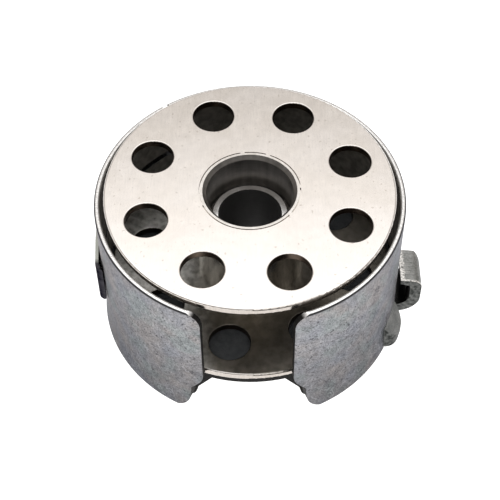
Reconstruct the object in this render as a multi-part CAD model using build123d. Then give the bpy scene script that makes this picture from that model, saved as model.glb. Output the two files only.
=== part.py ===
from build123d import *
import os
from math import atan2, cos, degrees, radians, sin, tan

# Bobbin case for a large sewing machine hook, with its steel bobbin inside.
# Millimetres. The origin is on the axis of the centre post, level with the underside
# of the case's floor. +Z points to the open side, +X to the latch finger and -Y to the window.

# ---- driving dimensions ----
BOBBIN_RADIUS = 13.0
BOBBIN_HEIGHT = 10.7
FLANGE_THICKNESS = 0.75
FLANGE_HOLE_RADIUS = 1.9
FLANGE_HOLE_CIRCLE = 9.66
FLANGE_HOLES = 8
TOP_HOLES_TURN = 20.0
BOTTOM_HOLES_TURN = 33.3
BOBBIN_BORE = 3.9
SPIGOT_RADIUS = 4.45
HUB_RADIUS = 4.9

CASE_RADIUS = 13.9
WALL = 0.5
FLOOR = 0.8
SKIRT_DEPTH = 4.15
SKIRT_WALL = 1.5
SKIRT_FLARE = 0.25
RIM_DROP = 0.8
BOBBIN_GAP = 0.1

POST_RADIUS = 3.83
STUD_BORE = 2.9
POST_TOP_DROP = 3.3

WINDOW_TURN = -1.35
WINDOW_HALF_ANGLE = 16.8
NOTCH_HALF_ANGLE = 21.7
LOBE_HALF_ANGLE = 22.8
CROWN_HALF_ANGLE = 15.0
FLOOR_FRONT_RADIUS = 12.7
SKIRT_EDGE = 10.6

PIVOT_X = -8.0
PIVOT_Z = -2.4
PIN_RADIUS = 0.55
EYE_RADIUS = 1.0
RUNNING_CLEARANCE = 0.04
LATCH_OPEN_ANGLE = 85.0
TOOTH_ARM = 1.98
TOOTH_RADIUS = 0.34
TOOTH_STEM = 0.4
TOOTH_HALF_WIDTH = 1.2
TOOTH_PLAY = 0.07

SLIDE_THICKNESS = 0.85
SLIDE_GAP = 0.1
LEVER_THICKNESS = 1.0
LEVER_HALF_WIDTH = 3.0
FINGER_HALF_WIDTH = 2.15
FINGER_ROOT_X = 11.0
FINGER_OUTER_X = 16.25
FINGER_TIP_X = 14.2
FINGER_TIP_RISE = 0.3

LEAF_THICKNESS = 0.3
LEAF_HEIGHT = 4.6
LEAF_Z = 3.35
LEAF_GAP = 0.05
FIXING_SCREW_ANGLE = 106.0
ADJUSTING_SCREW_ANGLE = 148.0
LEAF_START_ANGLE = 97.0
LEAF_LEAVES_ANGLE = 183.0
LEAF_STRAIGHT = 2.75
LEAF_CURL_RADIUS = 0.55
LEAF_CURL_TURN = 85.0

SCREW_SHANK = 0.8
SCREW_HEAD = 1.35
SCREW_STAND_OFF = 0.3

THREAD_SLOT = 0.6
THREAD_SLOT_ANGLE = 125.0
THREAD_SLOT_RISE = 1.35

SPRING_LOW_X = -3.9
SPRING_HIGH_X = 2.0
SPRING_Y = 4.95
SPRING_Z = -1.15
SPRING_RADIUS = 0.63
SPRING_WIRE = 0.12
SPRING_TURNS = 7

GUIDE_X = 7.7
GUIDE_SHOULDER = 0.9

POSITIONER_ANGLE = -20.5
POSITIONER_HALF_WIDTH = 1.7
POSITIONER_FOOT = 0.7
RIVET_X = 10.65
RIVET_RADIUS = 0.55

# ---- levels and sizes that follow from them ----
SKIRT_BOTTOM = -SKIRT_DEPTH
BOBBIN_BOTTOM = FLOOR + BOBBIN_GAP
BOBBIN_TOP = BOBBIN_BOTTOM + BOBBIN_HEIGHT
RIM_Z = BOBBIN_TOP - RIM_DROP
CASE_INNER = CASE_RADIUS - WALL
POST_TOP = BOBBIN_TOP - POST_TOP_DROP
SLIDE_TOP = -SLIDE_GAP
SLIDE_BOTTOM = SLIDE_TOP - SLIDE_THICKNESS
LEVER_BOTTOM = SKIRT_BOTTOM + 0.1
LEVER_TOP = LEVER_BOTTOM + LEVER_THICKNESS
FINGER_TOP = LEVER_BOTTOM + 4.15
POSITIONER_TOP = SKIRT_BOTTOM + 3.2
TOOTH_HALF_SWING = LATCH_OPEN_ANGLE / 2
SLIDE_TRAVEL = 2 * TOOTH_ARM * sin(radians(TOOTH_HALF_SWING))
BIG = 60.0


# ---- helpers ----
def rod(radius, low, high, x=0.0, y=0.0):
    """An upright cylinder from z = low to z = high."""
    return Pos(x, y, (low + high) / 2) * Cylinder(radius, high - low)


def block(x_low, x_high, y_low, y_high, z_low, z_high):
    """A box between two corners."""
    size = (x_high - x_low, y_high - y_low, z_high - z_low)
    return Pos((x_low + x_high) / 2, (y_low + y_high) / 2, (z_low + z_high) / 2) * Box(*size)


def plate(outline, z_low, z_high):
    """A flat outline in XY, as a plate between two levels."""
    return extrude(Plane.XY.offset(z_low) * outline, z_high - z_low)


def slot_outline(x_low, x_high, radius):
    """A slot with round ends, along X."""
    return Pos((x_low + x_high) / 2, 0) * SlotOverall(x_high - x_low, 2 * radius)


def radial(shape, angle):
    """Turn a shape that was made along +X so that it points along the given angle."""
    return Rot(0, 0, angle) * shape


def radial_rod(radius, near, far, z, angle):
    """A cylinder lying along a radius, between two distances from the axis."""
    return radial(Pos((near + far) / 2, 0, z) * Rot(0, 90, 0) * Cylinder(radius, far - near), angle)


def corner(outline, x, y, radius):
    """Round the corner of an outline that is nearest to a point."""
    nearest = outline.vertices().sort_by_distance((x, y, 0))[0]
    return fillet(nearest, radius)


def circles(shape, radius):
    """The round edges of a shape that have this radius."""
    return shape.edges().filter_by(GeomType.CIRCLE).filter_by(lambda edge: abs(edge.radius - radius) < 0.001)


# ---- bobbin ----
def flange(z_low, holes_turn):
    edge_round, hole_edge_round = 0.18, 0.1
    disc = rod(BOBBIN_RADIUS, z_low, z_low + FLANGE_THICKNESS)
    disc = fillet(disc.edges().filter_by(GeomType.CIRCLE), edge_round)
    for number in range(FLANGE_HOLES):
        angle = radians(holes_turn + number * 360 / FLANGE_HOLES)
        x, y = FLANGE_HOLE_CIRCLE * cos(angle), FLANGE_HOLE_CIRCLE * sin(angle)
        disc -= rod(FLANGE_HOLE_RADIUS, z_low - 1, z_low + 1, x, y)
    disc = fillet(circles(disc, FLANGE_HOLE_RADIUS), hole_edge_round)
    return disc - rod(SPIGOT_RADIUS, z_low - 1, z_low + 1)


def staking_groove(stake_angles=(5.0, 68.0, 98.0, 200.0, 322.0), stake_width=5.0):
    """The fine groove round the staked end of the tube, broken where the punch marks are."""
    depth, width = 0.16, 0.1
    ring = rod(SPIGOT_RADIUS + width, BOBBIN_TOP - depth, BOBBIN_TOP + 1)
    ring -= rod(SPIGOT_RADIUS - 0.01, BOBBIN_TOP - 1, BOBBIN_TOP + 1)
    half = SPIGOT_RADIUS * tan(radians(stake_width / 2))
    for angle in stake_angles:
        ring -= radial(block(SPIGOT_RADIUS - 1, SPIGOT_RADIUS + 1, -half, half, 0, BIG), angle)
    return ring


def bobbin_hub_tube():
    mouth, mouth_depth = 0.32, 0.35
    shoulder_low = BOBBIN_BOTTOM + FLANGE_THICKNESS
    shoulder_high = BOBBIN_TOP - FLANGE_THICKNESS
    section = Polyline(
        (BOBBIN_BORE + mouth, BOBBIN_BOTTOM),
        (SPIGOT_RADIUS, BOBBIN_BOTTOM),
        (SPIGOT_RADIUS, shoulder_low),
        (HUB_RADIUS, shoulder_low),
        (HUB_RADIUS, shoulder_high),
        (SPIGOT_RADIUS, shoulder_high),
        (SPIGOT_RADIUS, BOBBIN_TOP),
        (BOBBIN_BORE + mouth, BOBBIN_TOP),
        (BOBBIN_BORE, BOBBIN_TOP - mouth_depth),
        (BOBBIN_BORE, BOBBIN_BOTTOM + mouth_depth),
        close=True,
    )
    return revolve(Plane.XZ * make_face(section), Axis.Z)


# ---- case ----
def window_outline(distance):
    """The window as it crosses an upright plane at this distance in front of the axis."""
    side, notch, lobe = (
        distance * tan(radians(angle)) for angle in (WINDOW_HALF_ANGLE, NOTCH_HALF_ANGLE, LOBE_HALF_ANGLE)
    )
    wing_z, notch_z = 1.0, -0.6
    rim_round, wing_round, notch_round, lobe_round = 1.5, 2.4, 0.4, 2.3
    wide, over, under = distance * tan(radians(32)), RIM_Z + 2, SKIRT_BOTTOM - 2
    right = [
        (wide, over),
        (wide, RIM_Z),
        (side, RIM_Z),
        (side, wing_z),
        (notch, notch_z),
        (lobe, SKIRT_BOTTOM),
        (wide, SKIRT_BOTTOM),
        (wide, under),
    ]
    left = [(-x, z) for x, z in reversed(right)]
    outline = make_face(Polyline(*right, *left, close=True))
    for sign in (1, -1):
        outline = corner(outline, sign * side, RIM_Z, rim_round)
        outline = corner(outline, sign * side, wing_z, wing_round)
        outline = corner(outline, sign * notch, notch_z, notch_round)
        outline = corner(outline, sign * lobe, SKIRT_BOTTOM, lobe_round)
    return outline


def arch_outline(distance):
    """The opening in the skirt's inner layer, which slopes up to the underside of the floor."""
    crown, spring, lobe = (
        distance * tan(radians(angle)) for angle in (CROWN_HALF_ANGLE, NOTCH_HALF_ANGLE, LOBE_HALF_ANGLE)
    )
    spring_z, spring_round, lobe_round = -2.3, 2.0, 1.5
    wide, under = distance * tan(radians(32)), SKIRT_BOTTOM - 2
    right = [(crown, 0), (spring, spring_z), (lobe, SKIRT_BOTTOM), (wide, SKIRT_BOTTOM), (wide, under)]
    left = [(-x, z) for x, z in reversed(right)]
    outline = make_face(Polyline(*right, *left, close=True))
    for sign in (1, -1):
        outline = corner(outline, sign * spring, spring_z, spring_round)
        outline = corner(outline, sign * lobe, SKIRT_BOTTOM, lobe_round)
    return outline


def window_cutter(outline, near=SKIRT_EDGE, far=CASE_RADIUS + 2):
    """An outline of the window swept along the radii, from one distance in front of the axis to another."""
    outlines = [Plane.XZ.offset(distance) * outline(distance) for distance in (near, far)]
    return Rot(0, 0, WINDOW_TURN) * loft(outlines, ruled=True)


def case_rings():
    """The thin wall round the bobbin and the thicker skirt below, which flares a little to its edge."""
    edge_round, flare_start = 0.2, FLOOR
    skirt_inner, skirt_outer = CASE_RADIUS - SKIRT_WALL, CASE_RADIUS + SKIRT_FLARE
    flare = TangentArc((CASE_RADIUS, flare_start), (skirt_outer, SKIRT_BOTTOM), tangent=(0, -1))
    rest = Polyline(
        (skirt_outer, SKIRT_BOTTOM),
        (skirt_inner, SKIRT_BOTTOM),
        (skirt_inner, 0),
        (CASE_INNER, 0),
        (CASE_INNER, RIM_Z),
        (CASE_RADIUS, RIM_Z),
        (CASE_RADIUS, flare_start),
    )
    rings = revolve(Plane.XZ * make_face([flare, rest]), Axis.Z)
    rings = fillet(rings.edges().filter_by(GeomType.CIRCLE).group_by(Axis.Z)[-1], edge_round)
    return fillet(rings.edges().filter_by(GeomType.CIRCLE).group_by(Axis.Z)[0], edge_round)


def hinge_ear(sign):
    near, far, reach = LEVER_HALF_WIDTH + 0.1, LEVER_HALF_WIDTH + 0.9, 1.3
    y_low, y_high = sorted((sign * near, sign * far))
    round_end = Pos(PIVOT_X, (y_low + y_high) / 2, PIVOT_Z) * Rot(90, 0, 0) * Cylinder(reach, far - near)
    return block(PIVOT_X - reach, PIVOT_X + reach, y_low, y_high, PIVOT_Z, 0.2) + round_end


def cross_rod(radius, half_length, x, z):
    """A cylinder lying along Y."""
    return Pos(x, 0, z) * Rot(90, 0, 0) * Cylinder(radius, 2 * half_length)


def thread_slot():
    """Down from the rim, then sideways under the tension spring, to where the thread comes out."""
    half = THREAD_SLOT / 2
    turn_z = LEAF_Z + THREAD_SLOT_RISE
    down = radial(block(CASE_INNER - 1, CASE_RADIUS + 1, -half, half, turn_z, RIM_Z + 1), THREAD_SLOT_ANGLE)
    band = rod(CASE_RADIUS + 1, turn_z - half, turn_z + half) - rod(CASE_INNER - 1, turn_z - 1, turn_z + 1)
    exit_angle = LEAF_LEAVES_ANGLE - 4
    reach = 2 * CASE_RADIUS
    corners = [(0, 0)]
    for angle in (THREAD_SLOT_ANGLE, (THREAD_SLOT_ANGLE + exit_angle) / 2, exit_angle):
        corners.append((reach * cos(radians(angle)), reach * sin(radians(angle))))
    sector = plate(make_face(Polyline(*corners, close=True)), turn_z - 1, turn_z + 1)
    return down + (band & sector)


def case_shell():
    window = window_cutter(window_outline)
    inner_layer = rod(FLOOR_FRONT_RADIUS, SKIRT_BOTTOM - 1, 0)
    shell = case_rings() - (window - inner_layer) - (window_cutter(arch_outline) & inner_layer)
    shell += rod(CASE_INNER + 0.1, 0, FLOOR) - (window - rod(FLOOR_FRONT_RADIUS, -BIG, BIG))
    for sign in (1, -1):
        shell += hinge_ear(sign)
    shell += block(SPRING_HIGH_X, SPRING_HIGH_X + 0.8, SPRING_Y - 0.8, SPRING_Y + 0.8, -2.0, 0.2)
    shell -= cross_rod(PIN_RADIUS, LEVER_HALF_WIDTH + 2, PIVOT_X, PIVOT_Z)
    shell -= rod(POST_RADIUS, -1, FLOOR + 1)
    shell -= rod(SCREW_SHANK, -1, FLOOR + 1, GUIDE_X)
    shell -= radial(rod(RIVET_RADIUS, -1, FLOOR + 1, RIVET_X), POSITIONER_ANGLE)
    shell -= thread_slot()
    near, far = CASE_INNER - 1, CASE_RADIUS + 1
    shell -= radial_rod(SCREW_SHANK, near, far, LEAF_Z, FIXING_SCREW_ANGLE)
    shell -= radial_rod(SCREW_SHANK + RUNNING_CLEARANCE, near, far, LEAF_Z, ADJUSTING_SCREW_ANGLE)
    finger_gap = FINGER_HALF_WIDTH + 0.35
    shell -= block(11, far, -finger_gap, finger_gap, SKIRT_BOTTOM - 1, LEVER_TOP + 0.5)
    half = POSITIONER_HALF_WIDTH
    return shell - radial(block(11, far, -half, half, SKIRT_BOTTOM - 1, POSITIONER_TOP), POSITIONER_ANGLE)


def centre_post():
    """The hollow post that the bobbin turns on; the hook's stud fits its bore."""
    chamfer_width, chamfer_height = 0.45, 0.55
    section = Polyline(
        (STUD_BORE, 0),
        (POST_RADIUS, 0),
        (POST_RADIUS, POST_TOP - chamfer_height),
        (POST_RADIUS - chamfer_width, POST_TOP),
        (STUD_BORE, POST_TOP),
        close=True,
    )
    return revolve(Plane.XZ * make_face(section), Axis.Z)


# ---- positioning finger ----
def positioning_finger():
    """A bracket under the floor whose end sticks out through the skirt and stops the case turning."""
    foot_end, leg_inner, leg_outer = 9.9, 11.6, 12.2
    foot_half, corner_round, plan_start, plan_end = 1.55, 1.4, 11.2, 15.0
    low = SKIRT_BOTTOM + 0.25
    nose_x, nose_z = plan_end, low + 1.2
    side = make_face(
        Polyline(
            (foot_end, 0),
            (leg_outer, 0),
            (leg_outer, POSITIONER_TOP),
            (CASE_RADIUS, POSITIONER_TOP),
            (nose_x, nose_z),
            (nose_x, low),
            (leg_inner, low),
            (leg_inner, -POSITIONER_FOOT),
            (foot_end, -POSITIONER_FOOT),
            close=True,
        )
    )
    side = corner(side, nose_x, nose_z, 0.5)
    side = corner(side, nose_x, low, 0.3)
    half = POSITIONER_HALF_WIDTH
    bracket = extrude(Plane.XZ * side, half, both=True)
    leg_outline = RectangleRounded(plan_end - plan_start, 2 * half, corner_round)
    leg = Pos((plan_start + plan_end) / 2, 0) * leg_outline
    foot = Pos(leg_inner, 0) * Rectangle(2 * (leg_inner - foot_end), 2 * foot_half)
    bracket &= plate(leg, SKIRT_BOTTOM - 1, 1) + plate(foot, SKIRT_BOTTOM - 1, 1)
    bracket -= rod(RIVET_RADIUS, -1, 1, RIVET_X)
    return radial(bracket, POSITIONER_ANGLE)


def positioning_finger_rivet():
    head, head_height = 0.9, 0.4
    rivet = rod(RIVET_RADIUS, -POSITIONER_FOOT, FLOOR, RIVET_X)
    rivet += rod(head, -POSITIONER_FOOT - head_height, -POSITIONER_FOOT, RIVET_X)
    return radial(rivet, POSITIONER_ANGLE)


# ---- latch ----
def latch_slide():
    """The plate whose edge catches the groove of the stud."""
    wide, left, right = 4.0, LEVER_HALF_WIDTH - 0.1, 2.0
    tail_end, body_start, body_end, nose_end = -11.2, -6.4, 3.3, GUIDE_X + 1.8
    ear_thickness, ear_end, ear_bottom = 0.7, SPRING_Y + 0.8, -1.95
    stud_play, catch_x = 0.15, 1.9
    low, high = SLIDE_BOTTOM, SLIDE_TOP
    slide = block(body_start, body_end, -wide, wide, low, high)
    slide += block(tail_end, body_start, -left, left, low, high)
    slide += block(body_end, nose_end, -right, right, low, high)
    slide += block(SPRING_LOW_X - ear_thickness, SPRING_LOW_X, wide - 0.1, ear_end, ear_bottom, high)
    stud_slot = slot_outline(-STUD_BORE - SLIDE_TRAVEL - stud_play, catch_x, STUD_BORE + stud_play)
    slide -= plate(stud_slot, low - 1, high + 1)
    tooth_x = PIVOT_X - TOOTH_ARM * sin(radians(TOOTH_HALF_SWING))
    gap, half = TOOTH_RADIUS + TOOTH_PLAY, TOOTH_HALF_WIDTH + 0.1
    slide -= block(tooth_x - gap, tooth_x + gap, -half, half, low - 1, high + 1)
    slot = GUIDE_SHOULDER + 0.05
    return slide - plate(slot_outline(GUIDE_X - SLIDE_TRAVEL - slot, GUIDE_X + slot, slot), low - 1, high + 1)


def finger_side():
    """The curled finger in side view, from inside the skirt out and back over towards the wall."""
    low, top, inner_top, tip_x = LEVER_BOTTOM, FINGER_TOP, FINGER_TOP - 0.5, FINGER_TIP_X
    outer_x, inner_x = FINGER_OUTER_X, FINGER_OUTER_X - 1.1
    side = make_face(
        Polyline(
            (FINGER_ROOT_X, low),
            (outer_x, low),
            (outer_x, top),
            (tip_x, top + FINGER_TIP_RISE),
            (tip_x, inner_top + FINGER_TIP_RISE),
            (inner_x, inner_top),
            (inner_x, LEVER_TOP),
            (FINGER_ROOT_X, LEVER_TOP),
            close=True,
        )
    )
    side = corner(side, outer_x, low, 2.2)
    side = corner(side, outer_x, top, 0.9)
    side = corner(side, inner_x, inner_top, 0.3)
    return corner(side, inner_x, LEVER_TOP, 1.2)


def finger_grip(count=7, pitch=0.5, groove=0.12, groove_depth=0.03):
    """Fine grooves across the sloping top of the finger."""
    run, length = FINGER_OUTER_X - FINGER_TIP_X, 1.0
    middle_x, slope = FINGER_TIP_X + 0.75, degrees(atan2(FINGER_TIP_RISE, run))
    surface_z = FINGER_TOP + FINGER_TIP_RISE * (FINGER_OUTER_X - middle_x) / run
    middle_z = surface_z + groove - groove_depth
    grooves = []
    for number in range(count):
        y = (number - (count - 1) / 2) * pitch
        grooves.append(Pos(middle_x, y, middle_z) * Rot(0, 90 + slope, 0) * Cylinder(groove, length))
    return grooves


def finger():
    """The finger's side view, given its width, which narrows upwards, and its rounded corners."""
    half, top_half, near, far = FINGER_HALF_WIDTH, FINGER_HALF_WIDTH - 0.3, FINGER_ROOT_X, FINGER_OUTER_X
    back_round, front_round = 1.3, 0.35
    low, high = LEVER_BOTTOM, FINGER_TOP + 2 * FINGER_TIP_RISE
    end_view = make_face(Polyline((-half, low), (half, low), (top_half, high), (-top_half, high), close=True))
    plan = make_face(Polyline((near, -half), (far, -half), (far, half), (near, half), close=True))
    plan = corner(plan, far, half, back_round)
    plan = corner(plan, far, -half, front_round)
    shape = extrude(Plane.XZ * finger_side(), half, both=True)
    shape &= extrude(Plane.YZ * end_view, 2 * far)
    return shape & plate(plan, low - 1, high + 1)


def latch_tooth():
    """The lever's short arm, which stands in the slide's cross slot and drives it."""
    stem = Pos(0, 0, TOOTH_ARM / 2) * Box(TOOTH_STEM, 2 * TOOTH_HALF_WIDTH, TOOTH_ARM)
    tip = Pos(0, 0, TOOTH_ARM) * Rot(90, 0, 0) * Cylinder(TOOTH_RADIUS, 2 * TOOTH_HALF_WIDTH)
    return Pos(PIVOT_X, 0, PIVOT_Z) * Rot(0, -TOOTH_HALF_SWING, 0) * (stem + tip)


def latch_lever():
    half, neck, hinge_end = LEVER_HALF_WIDTH, FINGER_HALF_WIDTH, PIVOT_X - 0.9
    taper_x, root_x = 8, FINGER_ROOT_X
    outline = Polyline(
        (hinge_end, -half),
        (taper_x, -half),
        (root_x, -neck),
        (root_x + 1, -neck),
        (root_x + 1, neck),
        (root_x, neck),
        (taper_x, half),
        (hinge_end, half),
        close=True,
    )
    lever = plate(make_face(outline), LEVER_BOTTOM, LEVER_TOP)
    lever += cross_rod(EYE_RADIUS, half, PIVOT_X, PIVOT_Z)
    lever += finger()
    lever += latch_tooth()
    lever -= cross_rod(PIN_RADIUS + RUNNING_CLEARANCE, half + 1, PIVOT_X, PIVOT_Z)
    for groove in finger_grip():
        lever -= groove
    return lever


def latch_hinge_pin():
    return cross_rod(PIN_RADIUS, LEVER_HALF_WIDTH + 0.9, PIVOT_X, PIVOT_Z)


def slide_guide_screw():
    """A shouldered screw: its head holds the slide up, its shoulder guides the slide's slot."""
    head_top, head_bottom, head = SLIDE_BOTTOM - 0.1, SLIDE_BOTTOM - 1.1, 1.7
    slot, slot_depth = 0.22, 0.4
    screw = rod(GUIDE_SHOULDER, head_top, 0, GUIDE_X) + rod(SCREW_SHANK, 0, FLOOR, GUIDE_X)
    screw += rod(head, head_bottom, head_top, GUIDE_X)
    return screw - block(GUIDE_X - 3, GUIDE_X + 3, -slot, slot, head_bottom - 1, head_bottom + slot_depth)


def latch_spring():
    """A compression coil between the slide's ear and the stop under the floor."""
    length = SPRING_HIGH_X - SPRING_LOW_X - 2 * SPRING_WIRE
    coil = Helix(length / SPRING_TURNS, length, SPRING_RADIUS)
    section = Plane(coil @ 0, z_dir=coil % 0) * Circle(SPRING_WIRE)
    spring = sweep(section, coil, is_frenet=True)
    return Pos(SPRING_LOW_X + SPRING_WIRE, SPRING_Y, SPRING_Z) * Rot(0, 90, 0) * spring


# ---- thread tension ----
def tension_spring():
    """The leaf round the wall: held at one end, pressed by the adjusting screw, curled in at the other."""
    held_end_round, free_end_round = 0.9, 0.25
    middle = CASE_RADIUS + LEAF_GAP + LEAF_THICKNESS / 2
    along = CenterArc((0, 0), middle, LEAF_START_ANGLE, LEAF_LEAVES_ANGLE - LEAF_START_ANGLE)
    straight = Line(along @ 1, along @ 1 + (along % 1) * LEAF_STRAIGHT)
    curl = JernArc(straight @ 1, straight % 1, LEAF_CURL_RADIUS, LEAF_CURL_TURN)
    path = [along, straight, curl]
    leaf = plate(trace(path, LEAF_THICKNESS), LEAF_Z - LEAF_HEIGHT / 2, LEAF_Z + LEAF_HEIGHT / 2)
    ends = leaf.edges().filter_by(lambda edge: abs(edge.length - LEAF_THICKNESS) < 0.01).sort_by(Axis.Y)
    leaf = fillet(ends[-2:], held_end_round)
    leaf = fillet(ends[:2], free_end_round)
    near, far = CASE_RADIUS - 1, CASE_RADIUS + 2
    leaf -= radial_rod(SCREW_SHANK + 0.05, near, far, LEAF_Z, FIXING_SCREW_ANGLE)
    return leaf - radial_rod(SCREW_SHANK + 0.15, near, far, LEAF_Z, ADJUSTING_SCREW_ANGLE)


def tension_screw(angle, stand_off):
    head_height, slot, slot_depth = 0.7, 0.2, 0.35
    seat = CASE_RADIUS + LEAF_GAP + LEAF_THICKNESS + stand_off
    top = seat + head_height
    screw = radial_rod(SCREW_SHANK, CASE_INNER + 0.05, seat, LEAF_Z, angle)
    screw += radial_rod(SCREW_HEAD, seat, top, LEAF_Z, angle)
    return screw - radial(block(top - slot_depth, top + 1, -3, 3, LEAF_Z - slot, LEAF_Z + slot), angle)


PARTS = {
    "case_shell": case_shell(),
    "centre_post": centre_post(),
    "positioning_finger": positioning_finger(),
    "positioning_finger_rivet": positioning_finger_rivet(),
    "bobbin_top_flange": flange(BOBBIN_TOP - FLANGE_THICKNESS, TOP_HOLES_TURN) - staking_groove(),
    "bobbin_bottom_flange": flange(BOBBIN_BOTTOM, BOTTOM_HOLES_TURN),
    "bobbin_hub_tube": bobbin_hub_tube(),
    "latch_slide": latch_slide(),
    "latch_lever": latch_lever(),
    "latch_hinge_pin": latch_hinge_pin(),
    "slide_guide_screw": slide_guide_screw(),
    "latch_spring": latch_spring(),
    "tension_spring": tension_spring(),
    "tension_fixing_screw": tension_screw(FIXING_SCREW_ANGLE, LEAF_GAP),
    "tension_adjusting_screw": tension_screw(ADJUSTING_SCREW_ANGLE, SCREW_STAND_OFF),
}

os.makedirs("parts", exist_ok=True)
for name, shape in PARTS.items():
    export_step(shape, f"parts/{name}.step")
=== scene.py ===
import math

import bpy
from mathutils import Matrix, Vector


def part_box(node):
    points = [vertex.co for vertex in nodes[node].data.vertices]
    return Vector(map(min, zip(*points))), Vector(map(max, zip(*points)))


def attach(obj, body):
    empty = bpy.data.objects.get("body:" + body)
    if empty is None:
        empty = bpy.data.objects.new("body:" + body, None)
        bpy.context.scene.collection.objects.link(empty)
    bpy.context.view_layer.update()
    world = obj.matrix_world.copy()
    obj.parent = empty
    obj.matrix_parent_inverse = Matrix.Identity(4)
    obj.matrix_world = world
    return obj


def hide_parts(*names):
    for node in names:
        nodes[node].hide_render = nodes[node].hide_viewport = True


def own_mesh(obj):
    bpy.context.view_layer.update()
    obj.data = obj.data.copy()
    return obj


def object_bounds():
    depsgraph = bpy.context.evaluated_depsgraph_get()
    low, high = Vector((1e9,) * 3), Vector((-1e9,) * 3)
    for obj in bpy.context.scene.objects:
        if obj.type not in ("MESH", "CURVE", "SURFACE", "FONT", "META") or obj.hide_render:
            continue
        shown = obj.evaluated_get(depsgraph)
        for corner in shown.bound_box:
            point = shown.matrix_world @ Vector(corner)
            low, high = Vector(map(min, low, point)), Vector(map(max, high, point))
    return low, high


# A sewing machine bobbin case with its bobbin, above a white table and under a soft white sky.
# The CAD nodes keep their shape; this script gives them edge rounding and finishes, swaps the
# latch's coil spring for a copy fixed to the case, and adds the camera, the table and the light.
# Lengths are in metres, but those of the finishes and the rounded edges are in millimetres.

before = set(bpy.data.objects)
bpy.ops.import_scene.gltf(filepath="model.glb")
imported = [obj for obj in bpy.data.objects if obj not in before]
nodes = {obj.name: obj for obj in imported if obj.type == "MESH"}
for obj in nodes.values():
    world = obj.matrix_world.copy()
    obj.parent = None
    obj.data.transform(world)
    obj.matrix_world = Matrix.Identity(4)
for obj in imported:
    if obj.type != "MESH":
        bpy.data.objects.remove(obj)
cad_low, cad_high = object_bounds()
MM = 1000.0  # millimetres in a metre


# ---------------------------------------------------------------- places read from the frame
FINGER_DEPTH = 2.05  # from the latch finger's tip to its outside, in millimetres

flange_low, flange_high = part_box("bobbin_top_flange")
lower_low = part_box("bobbin_bottom_flange")[0]
case_low, case_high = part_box("case_shell")
leaf_end_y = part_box("tension_spring")[0].y * MM
lever_low, lever_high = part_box("latch_lever")
tube_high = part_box("bobbin_hub_tube")[1]
bobbin_radius = (flange_high.x - flange_low.x) / 2

# In millimetres, for the finishes:
flange_edge = bobbin_radius * MM
tube_edge, tube_top = tube_high.x * MM, tube_high.z * MM
case_base, case_rim = case_low.z * MM, case_high.z * MM
lever_base, finger_tip_x = lever_low.z * MM, lever_high.x * MM - FINGER_DEPTH


# ---------------------------------------------------------------- camera
SENSOR = 36.0  # in millimetres, as Blender's camera has it
FOCAL = 2.6  # focal length over the sensor's width
ELEVATION = math.radians(52.05)
ROLL = math.radians(0.60)
DISTANCE = 8.856  # in bobbin radii, from the middle of the upper flange
SHIFT_RIGHT, SHIFT_UP = -0.001, 0.4086  # of the view, in bobbin radii
CLIP_NEAR, CLIP_FAR = 0.005, 5.0


def make_camera():
    back = Vector((0, -math.cos(ELEVATION), math.sin(ELEVATION)))
    up = Vector((0, math.sin(ELEVATION), math.cos(ELEVATION)))
    side = Vector((1, 0, 0))
    right = side * math.cos(ROLL) - up * math.sin(ROLL)
    up = side * math.sin(ROLL) + up * math.cos(ROLL)
    data = bpy.data.cameras.new("camera")
    data.sensor_width = SENSOR
    data.lens = FOCAL * SENSOR
    data.clip_start, data.clip_end = CLIP_NEAR, CLIP_FAR
    camera = bpy.data.objects.new("camera", data)
    turn = Matrix((right, up, back)).transposed().to_4x4()
    target = Vector((0, 0, flange_high.z))
    place = target + bobbin_radius * (DISTANCE * back - SHIFT_RIGHT * right - SHIFT_UP * up)
    camera.matrix_world = Matrix.Translation(place) @ turn
    bpy.context.scene.collection.objects.link(camera)
    bpy.context.scene.camera = camera


# ---------------------------------------------------------------- node tree helper
class NodeTree:
    """Short ways to add nodes to a tree."""

    def __init__(self, tree):
        self.tree = tree

    def add(self, kind, inputs=None, **settings):
        node = self.tree.nodes.new(kind)
        for key, value in settings.items():
            setattr(node, key, value)
        for key, value in (inputs or {}).items():
            self.put(node.inputs[key], value)
        return node

    def put(self, socket, value):
        if isinstance(value, bpy.types.NodeSocket):
            self.tree.links.new(value, socket)
        elif isinstance(value, tuple) and len(value) == 3 and socket.type == "RGBA":
            socket.default_value = (*value, 1)
        else:
            socket.default_value = value

    def math(self, operation, *values):
        return self.add("ShaderNodeMath", dict(enumerate(values)), operation=operation).outputs[0]

    def ramp(self, value, low, high, out_low=0.0, out_high=1.0, kind="LINEAR"):
        inputs = {0: value, 1: low, 2: high, 3: out_low, 4: out_high}
        return self.add("ShaderNodeMapRange", inputs, interpolation_type=kind).outputs[0]

    def mix(self, amount, first, second, kind="MIX"):
        inputs = {0: amount, 6: first, 7: second}
        return self.add("ShaderNodeMix", inputs, data_type="RGBA", blend_type=kind).outputs[2]


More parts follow.
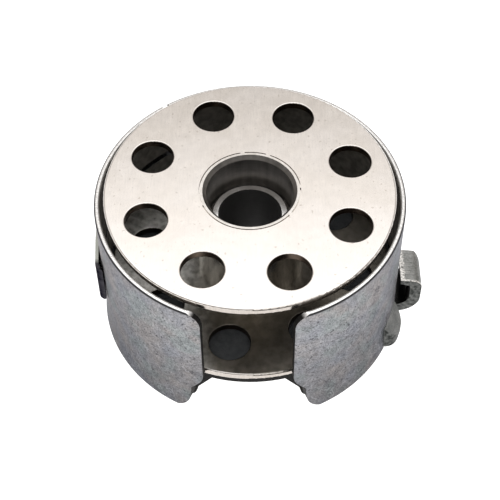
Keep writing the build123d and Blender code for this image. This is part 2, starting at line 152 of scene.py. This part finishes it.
class Finish(NodeTree):
    """A metal's or the table's material, built up from noises over the object's own coordinates."""

    def __init__(self, name, metallic=1.0):
        self.material = bpy.data.materials.new(name)
        self.material.use_nodes = True
        super().__init__(self.material.node_tree)
        self.shader = self.tree.nodes["Principled BSDF"]
        self.shader.inputs["Metallic"].default_value = metallic
        coordinates = self.add("ShaderNodeTexCoord").outputs
        scale = {0: coordinates["Object"], "Scale": MM}
        self.place = self.add("ShaderNodeVectorMath", scale, operation="SCALE").outputs[0]
        self.x, self.y, self.z = self.add("ShaderNodeSeparateXYZ", {0: self.place}).outputs
        normal = self.add("ShaderNodeSeparateXYZ", {0: coordinates["Normal"]})
        self.faces_x, self.faces_y, self.up = normal.outputs

    def stretched(self, scale, turn=(0, 0, 0)):
        """The place, turned and then scaled differently along each axis."""
        inputs = {"Vector": self.place, "Rotation": turn, "Scale": scale}
        return self.add("ShaderNodeMapping", inputs).outputs[0]

    def turned(self, *turn):
        """The place, turned so that one noise does not follow another."""
        return self.stretched((1, 1, 1), turn)

    def noise(self, size, detail=2.0, place=None, distortion=0.0):
        values = {"Scale": 1 / size, "Detail": detail, "Distortion": distortion}
        return self.add("ShaderNodeTexNoise", {"Vector": place or self.place, **values}).outputs["Fac"]

    def blotches(self, noise, first, second, low=0.35, high=0.65):
        """Soft patches of two colours."""
        return self.mix(self.ramp(noise, low, high), first, second)

    def varied(self, colour, noise, darkest, lightest, low=0.3, high=0.7):
        """The colour, darker and lighter by a noise."""
        return self.mix(1.0, colour, self.ramp(noise, low, high, darkest, lightest), "MULTIPLY")

    def cover(self, colour, mask, strength, over):
        """The colour with another laid over it where the mask is, at a given strength."""
        return self.mix(self.math("MULTIPLY", mask, strength), colour, over)

    def tint_highlights(self, *tint):
        self.shader.inputs["Specular Tint"].default_value = (*tint, 1)

    def bump(self, height, depth, normal=None):
        inputs = {"Height": height, "Distance": depth / MM, "Strength": 1.0}
        if normal:
            inputs["Normal"] = normal
        return self.add("ShaderNodeBump", inputs).outputs[0]

    def facing(self):
        """How far the surface faces outwards from the part's axis, and how far it faces round it."""
        reach = self.reach()
        along_x, along_y = self.math("DIVIDE", self.x, reach), self.math("DIVIDE", self.y, reach)
        outward_y = self.math("MULTIPLY", self.faces_y, along_y)
        outward = self.math("MULTIPLY_ADD", self.faces_x, along_x, outward_y)
        across = self.math("MULTIPLY", self.faces_x, along_y)
        around = self.math("SUBTRACT", self.math("MULTIPLY", self.faces_y, along_x), across)
        return outward, self.math("ABSOLUTE", around)

    def reach(self):
        """Distance from the part's axis."""
        return self.math("SQRT", self.math("ADD", self.square(self.x), self.square(self.y)))

    def square(self, value):
        return self.math("MULTIPLY", value, value)

    def finish(self, colour, roughness, normal):
        self.put(self.shader.inputs["Base Color"], colour)
        self.put(self.shader.inputs["Roughness"], roughness)
        self.put(self.shader.inputs["Normal"], normal)
        return self.material

    def marks(self, size, width, turn):
        """Thin wandering marks, here and there: 1 in a mark, 0 elsewhere."""
        place = self.turned(turn, 2 * turn, 3 * turn)
        off_line = self.math("ABSOLUTE", self.math("SUBTRACT", self.noise(size, 2.0, place, 0.6), 0.5))
        here = self.ramp(self.noise(1.7 * size, 1.0, place), 0.47, 0.56)
        return self.math("MULTIPLY", self.ramp(off_line, 0.0, width, 1.0, 0.0), here)


# ---------------------------------------------------------------- finishes
# Each pair is where a mark is still absent and where it has reached its full strength.
OVER_FLOOR = (2.2, 1.6)  # heights above the case's floor
WITHIN_WALL = (13.3, 13.2)  # radii between the bobbin's edge and the case's wall
ROUND_HOLES = (12.5, 12.4)  # radii between the flange's edge and its holes
FINGER_STRIP = (-1.45, -1.60)  # along y, for the strip at the latch finger's front edge, a painted highlight
OVER_SHANK = (1.8, 1.5)  # heights from the lever's base, above the top of its shank, for its painted shade


def case_steel():
    """Tumbled satin steel: mottled grey, painted shade low down, oxide and painted shade inside and on
    the cut faces, a bright rim.
    """
    f = Finish("case_steel")
    outward, around = f.facing()
    tint = f.blotches(f.noise(3.0, 2.0), (0.262, 0.268, 0.290), (0.302, 0.287, 0.284), 0.36, 0.64)
    green = f.noise(2.3, 1.0, f.turned(0.7, 0.3, 1.9))
    tint = f.mix(f.ramp(green, 0.50, 0.66, 0.0, 0.8), tint, (0.254, 0.276, 0.278))
    grain = f.noise(0.15, 3.0)
    cloud = f.noise(0.7, 3.0)
    light = f.ramp(cloud, 0.3, 0.7, 0.80, 1.20)
    light = f.math("MULTIPLY", f.ramp(grain, 0.25, 0.75, 0.55, 1.50), light)
    # Painted shade: the wall's colour is made darker towards the bottom.
    light = f.math("MULTIPLY", light, f.ramp(f.z, case_base, case_rim - 3.0, 0.56, 1.08))
    colour = f.mix(1.0, tint, light, "MULTIPLY")
    pits = f.ramp(f.noise(0.28, 1.0, f.turned(1.1, 0.4, 0.2)), 0.665, 0.70)
    colour = f.cover(colour, pits, 0.75, (0.07, 0.07, 0.075))
    colour = f.cover(colour, f.marks(1.3, 0.018, 0.3), 0.80, (0.10, 0.10, 0.105))
    colour = f.cover(colour, f.marks(0.9, 0.020, 2.1), 0.45, (0.48, 0.48, 0.50))
    # Inside, on the floor and on the cut faces the colour is darkened: partly oxide, partly painted
    # shade.
    inside = f.ramp(outward, -0.15, -0.45)
    floor_top = f.math("MULTIPLY", f.ramp(f.up, 0.4, 0.7), f.ramp(f.z, *OVER_FLOOR))
    inner_edge = f.math("MULTIPLY", f.ramp(outward, 0.4, 0.6), f.ramp(f.reach(), *WITHIN_WALL))
    cut = f.math("MAXIMUM", f.ramp(around, 0.35, 0.6), inner_edge)
    dark = f.math("MAXIMUM", f.math("MAXIMUM", inside, floor_top), cut)
    wall_oxide_and_shade = f.blotches(cloud, (0.19, 0.18, 0.165), (0.33, 0.315, 0.29))
    floor_oxide_and_shade = f.blotches(cloud, (0.070, 0.075, 0.080), (0.10, 0.105, 0.11))
    oxide_and_shade = f.mix(cut, wall_oxide_and_shade, (0.015, 0.014, 0.013))
    oxide_and_shade = f.mix(floor_top, oxide_and_shade, floor_oxide_and_shade)
    colour = f.mix(dark, colour, oxide_and_shade)
    foot = f.ramp(f.z, case_base + 0.20, case_base + 0.10)
    colour = f.cover(colour, foot, 0.8, (0.05, 0.05, 0.055))
    near_rim = f.ramp(f.z, case_rim - 0.24, case_rim - 0.14)
    # Painted highlight, partly polish: the rim's upward-facing top is painted near white.
    rim = f.math("MULTIPLY", near_rim, f.ramp(f.up, 0.84, 0.97))
    # Painted shade: a dark line is painted on the rim's outward-facing rounding.
    edge = f.math("MULTIPLY", near_rim, f.ramp(outward, 0.25, 0.45))
    colour = f.mix(edge, colour, (0.07, 0.07, 0.075))
    colour = f.mix(rim, colour, (0.82, 0.81, 0.80))
    rough = f.ramp(f.math("ADD", grain, cloud), 0.7, 1.3, 0.34, 0.48)
    rough = f.math("SUBTRACT", rough, f.math("MULTIPLY", rim, 0.2))
    rough = f.math("MULTIPLY_ADD", dark, 0.25, rough)
    f.put(f.shader.inputs["Metallic"], f.math("SUBTRACT", 1.0, dark))
    f.shader.inputs["Specular IOR Level"].default_value = 0.15
    f.tint_highlights(0.45, 0.45, 0.47)
    normal = f.bump(f.noise(0.30, 3.0), 0.016)
    normal = f.bump(f.math("SUBTRACT", 1.0, pits), 0.012, normal)
    return f.finish(colour, rough, normal)


def bobbin_nickel():
    """Polished warm nickel with fine wipe marks and brown specks; painted shade between the flanges,
    lighter to one side.
    """
    f = Finish("bobbin_nickel")
    tint = f.blotches(f.noise(4.5, 2.0), (0.80, 0.765, 0.735), (0.775, 0.735, 0.695))
    haze = f.noise(0.9, 3.0, f.turned(0.2, 0.1, 0.6))
    colour = f.varied(tint, haze, 0.965, 1.03)
    wipes = f.noise(1.0, 3.0, f.stretched((9.0, 0.9, 1.0), (0, 0, 1.15)))
    colour = f.varied(colour, wipes, 0.97, 1.025)
    specks = f.ramp(f.noise(0.33, 0.0), 0.77, 0.80)
    colour = f.cover(colour, specks, 0.35, (0.42, 0.36, 0.30))
    # Painted shade between the flanges, made lighter towards negative x as painted light.
    middle = (flange_high.z + lower_low.z) / 2 * MM
    inwards = f.math("MULTIPLY", f.up, f.math("SUBTRACT", middle, f.z))
    mottle = f.noise(0.7, 3.0, f.turned(0.4, 0.9, 0.1))
    deep = f.blotches(mottle, (0.17, 0.155, 0.13), (0.27, 0.245, 0.21), 0.3, 0.7)
    light = f.blotches(mottle, (0.42, 0.41, 0.38), (0.92, 0.90, 0.86))
    painted_light_and_shade = f.mix(f.ramp(f.x, -3.0, -6.0), deep, light)
    reach = f.reach()
    edge = f.ramp(reach, flange_edge - 0.16, flange_edge - 0.08)
    inwards = f.math("MULTIPLY", f.ramp(inwards, 1.5, 3.5), f.math("SUBTRACT", 1.0, edge))
    colour = f.mix(inwards, colour, painted_light_and_shade)
    side = f.ramp(reach, flange_edge - 0.05, flange_edge - 0.01)
    side_colour = f.blotches(wipes, (0.44, 0.40, 0.36), (0.54, 0.49, 0.45), 0.3, 0.7)
    colour = f.cover(colour, side, 0.9, side_colour)
    # Painted shade: the sides of the flange's holes are painted dark brown.
    hole = f.math("MULTIPLY", f.ramp(f.math("ABSOLUTE", f.up), 0.7, 0.5), f.ramp(reach, *ROUND_HOLES))
    hole_colour = f.blotches(haze, (0.07, 0.055, 0.045), (0.16, 0.12, 0.09), 0.3, 0.7)
    colour = f.mix(hole, colour, hole_colour)
    rough = f.ramp(f.math("ADD", haze, wipes), 0.7, 1.3, 0.10, 0.17)
    rough = f.math("MULTIPLY_ADD", f.math("MAXIMUM", inwards, hole), 0.22, rough)
    normal = f.bump(wipes, 0.0012, f.bump(haze, 0.002))
    return f.finish(colour, rough, normal)


def bobbin_tube_nickel():
    """Nickel over a turned tube: fine rings, a bright lip, dulled where thread has run, dark bore."""
    f = Finish("bobbin_tube_nickel")
    outward = f.facing()[0]
    rings = f.noise(1.0, 2.0, f.stretched((0.15, 0.15, 14.0)))
    streaks = f.noise(1.0, 2.0, f.stretched((2.2, 2.2, 0.22)))
    bright = f.blotches(streaks, (0.72, 0.69, 0.65), (0.86, 0.83, 0.80), 0.3, 0.7)
    thread_worn = f.blotches(streaks, (0.60, 0.56, 0.50), (0.86, 0.82, 0.76), 0.3, 0.7)
    # Painted shade: the tube's bore is painted dark.
    bore_colour = f.blotches(streaks, (0.17, 0.16, 0.15), (0.24, 0.225, 0.21), 0.3, 0.7)
    bore = f.ramp(outward, -0.45, -0.75)
    colour = f.mix(f.ramp(outward, 0.3, 0.7), bright, thread_worn)
    colour = f.mix(bore, colour, bore_colour)
    colour = f.varied(colour, rings, 0.88, 1.07)
    seam = f.ramp(f.reach(), tube_edge - 0.1, tube_edge - 0.04)
    seam = f.math("MULTIPLY", f.ramp(f.z, tube_top - 0.4, tube_top - 0.3), seam)
    colour = f.mix(seam, colour, (0.04, 0.035, 0.03))
    rough = f.ramp(f.math("ADD", rings, streaks), 0.7, 1.3, 0.14, 0.26)
    rough = f.math("MULTIPLY_ADD", bore, 0.25, rough)
    return f.finish(colour, rough, f.bump(rings, 0.004))


def turned_steel(name, light, dark, rough_low, rough_high):
    """Turned steel for the post, screws and pins: rings, a little oil staining, painted shade inside a
    bore.
    """
    f = Finish(name)
    rings = f.noise(1.0, 2.0, f.stretched((0.4, 0.4, 9.0)))
    stain = f.noise(0.8, 3.0)
    colour = f.blotches(stain, dark, light)
    colour = f.varied(colour, rings, 0.9, 1.07)
    # Painted shade: the inside of a bore is painted dark.
    bore = f.ramp(f.facing()[0], -0.3, -0.7)
    colour = f.mix(bore, colour, (0.16, 0.157, 0.156))
    rough = f.ramp(f.math("ADD", rings, stain), 0.7, 1.3, rough_low, rough_high)
    rough = f.math("MULTIPLY_ADD", bore, 0.4, rough)
    return f.finish(colour, rough, f.bump(rings, 0.004))


def stamped_steel(name, shade=1.0, tip_wear_and_light=False):
    """Stamped satin steel, duller than the case: coarse grain, dark cut faces; perhaps a tip worn
    bright, a painted highlight and painted shade.
    """
    f = Finish(name)
    grain = f.noise(0.16, 3.0)
    cloud = f.noise(1.1, 3.0)
    colour = f.blotches(cloud, (0.230, 0.235, 0.228), (0.380, 0.380, 0.370))
    colour = f.varied(colour, grain, 0.70 * shade, 1.28 * shade, 0.25, 0.75)
    sides = f.ramp(f.math("ABSOLUTE", f.faces_y), 0.6, 0.9)
    side_colour = f.blotches(f.noise(0.4, 3.0), (0.030, 0.032, 0.030), (0.150, 0.153, 0.148))
    colour = f.mix(sides, colour, side_colour)
    if tip_wear_and_light:
        uneven = f.noise(0.35, 2.0)
        tip = f.ramp(f.math("MULTIPLY_ADD", uneven, 0.5, f.x), finger_tip_x + 0.75, finger_tip_x + 0.55)
        # Painted highlight: a bright strip along the top face's front edge; the tip's brightness is
        # wear.
        front = f.ramp(f.math("MULTIPLY_ADD", uneven, 0.3, f.y), *FINGER_STRIP)
        rubbed_and_highlit = f.math("MULTIPLY", f.math("MAXIMUM", tip, front), f.ramp(f.up, 0.15, 0.45))
        rubbed_and_highlit = f.math("MULTIPLY", rubbed_and_highlit, f.ramp(f.x, finger_tip_x - 0.4, finger_tip_x - 0.2))
        colour = f.mix(f.math("MULTIPLY", rubbed_and_highlit, f.ramp(grain, 0.32, 0.58)), colour, (0.92, 0.90, 0.87))
        beads = f.math("MULTIPLY", tip, f.ramp(f.noise(0.40, 1.0), 0.60, 0.66))
        colour = f.cover(colour, beads, 0.8, (0.03, 0.03, 0.03))
        # Painted shade: the top of the shank, under the case, is painted dark.
        shank_top = f.ramp(f.z, *(lever_base + height for height in OVER_SHANK))
        shank_top = f.math("MULTIPLY", shank_top, f.ramp(f.up, 0.2, 0.5))
        colour = f.mix(shank_top, colour, (0.035, 0.035, 0.033))
    rough = f.ramp(f.math("ADD", grain, cloud), 0.7, 1.3, 0.34, 0.48)
    f.tint_highlights(0.45, 0.45, 0.46)
    return f.finish(colour, rough, f.bump(grain, 0.008))


def spring_steel():
    """Spring steel: rolling lines, faces nearly black as partly bluing and partly painted shade, lighter
    along its upper edge.
    """
    f = Finish("spring_steel")
    lines = f.noise(1.0, 2.0, f.stretched((0.25, 0.25, 9.0)))
    cloud = f.noise(1.6, 2.0)
    # Painted shade, with some bluing: the faces are painted nearly black; the upper edge stays lighter.
    colour = f.blotches(cloud, (0.030, 0.029, 0.034), (0.060, 0.058, 0.064))
    colour = f.varied(colour, lines, 0.8, 1.25)
    upper_edge = f.math("MULTIPLY", f.ramp(f.up, 0.5, 0.8), f.ramp(f.y, leaf_end_y + 0.7, leaf_end_y + 1.3))
    colour = f.mix(upper_edge, colour, (0.36, 0.37, 0.34))
    rough = f.ramp(f.math("ADD", lines, cloud), 0.7, 1.3, 0.22, 0.36)
    f.tint_highlights(0.35, 0.35, 0.36)
    return f.finish(colour, rough, f.bump(lines, 0.003))


BEVEL_STEPS, BEVEL_ANGLE = 2, math.radians(35)


def dress(material, *names, bevel=None):
    """Give CAD nodes a finish and, where asked, rounded edges of a width in millimetres."""
    for name in names:
        node = nodes[name]
        node.data.materials.clear()
        node.data.materials.append(material)
        if bevel:
            edges = node.modifiers.new("edge_round", "BEVEL")
            edges.width, edges.segments = bevel / MM, BEVEL_STEPS
            edges.limit_method, edges.angle_limit = "ANGLE", BEVEL_ANGLE
            edges.harden_normals = True


screw_steel = turned_steel("screw_steel", (0.40, 0.40, 0.40), (0.30, 0.30, 0.30), 0.25, 0.38)
post_steel = turned_steel("post_steel", (0.95, 0.94, 0.93), (0.80, 0.79, 0.78), 0.16, 0.28)
dress(case_steel(), "case_shell")
dress(stamped_steel("latch_steel", tip_wear_and_light=True), "latch_lever", "latch_slide", bevel=0.09)
# Painted shade: the positioning finger, low by the case's foot, takes a darker copy of the latch's
# steel.
dress(stamped_steel("bracket_steel", shade=0.6), "positioning_finger", bevel=0.12)
dress(post_steel, "centre_post")
dress(bobbin_nickel(), "bobbin_top_flange", "bobbin_bottom_flange")
dress(bobbin_tube_nickel(), "bobbin_hub_tube")
leaf_steel = spring_steel()
dress(leaf_steel, "tension_spring", bevel=0.05)
dress(leaf_steel, "latch_spring")
dress(screw_steel, "slide_guide_screw", "tension_fixing_screw", "tension_adjusting_screw", bevel=0.05)
dress(screw_steel, "latch_hinge_pin", "positioning_finger_rivet")


def springy_coil():
    """A copy of the latch's coil spring, fixed to the case in place of the original, which is hidden."""
    coil = bpy.data.objects.new("latch_coil", nodes["latch_spring"].data.copy())
    bpy.context.scene.collection.objects.link(coil)
    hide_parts("latch_spring")
    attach(coil, "case")
    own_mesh(coil)


springy_coil()


# ---------------------------------------------------------------- table and light
TABLE_SIZE = 1.6
TABLE_GLOW = 0.96  # holds the ground at a plain white


def make_table():
    """A white table, far enough below the case for its latch to swing open."""
    latch_reach = cad_high[0] - cad_low[0]
    bpy.ops.mesh.primitive_plane_add(size=TABLE_SIZE, location=(0, 0, cad_low[2] - latch_reach))
    table = bpy.context.object
    table.name = "table"
    f = Finish("table_white", metallic=0.0)
    fleck = f.noise(3.0, 2.0)
    f.finish(
        f.blotches(fleck, (0.48, 0.48, 0.48), (0.54, 0.54, 0.54), 0.3, 0.7),
        f.ramp(fleck, 0.3, 0.7, 0.85, 0.95),
        f.bump(fleck, 0.002),
    )
    f.shader.inputs["Emission Color"].default_value = (1, 1, 1, 1)
    f.shader.inputs["Emission Strength"].default_value = TABLE_GLOW
    table.data.materials.append(f.material)


def make_sky():
    """A white studio sky: brightest overhead, warmer and dimmer low down, dimmest low in front."""
    world = bpy.data.worlds.new("studio_sky")
    world.use_nodes = True
    sky = NodeTree(world.node_tree)
    direction = sky.add("ShaderNodeTexCoord").outputs["Generated"]
    _, y, z = sky.add("ShaderNodeSeparateXYZ", {0: direction}).outputs
    behind = sky.ramp(z, 0.66, 0.86, 0.60, 1.75, "SMOOTHSTEP")
    front = sky.ramp(z, 0.55, 0.95, 0.22, 1.5, "SMOOTHSTEP")
    backwards = sky.ramp(y, -0.25, 0.25, kind="SMOOTHSTEP")
    overhead = sky.ramp(z, 0.70, 0.86, kind="SMOOTHSTEP")
    strength = sky.add("ShaderNodeMix", {0: backwards, 2: front, 3: behind}).outputs[0]
    background = world.node_tree.nodes["Background"]
    sky.put(background.inputs["Strength"], strength)
    sky.put(background.inputs["Color"], sky.mix(overhead, (1.0, 0.955, 0.91), (1, 1, 1)))
    bpy.context.scene.world = world


make_camera()
make_table()
make_sky()
bpy.context.scene.view_settings.view_transform = "Standard"
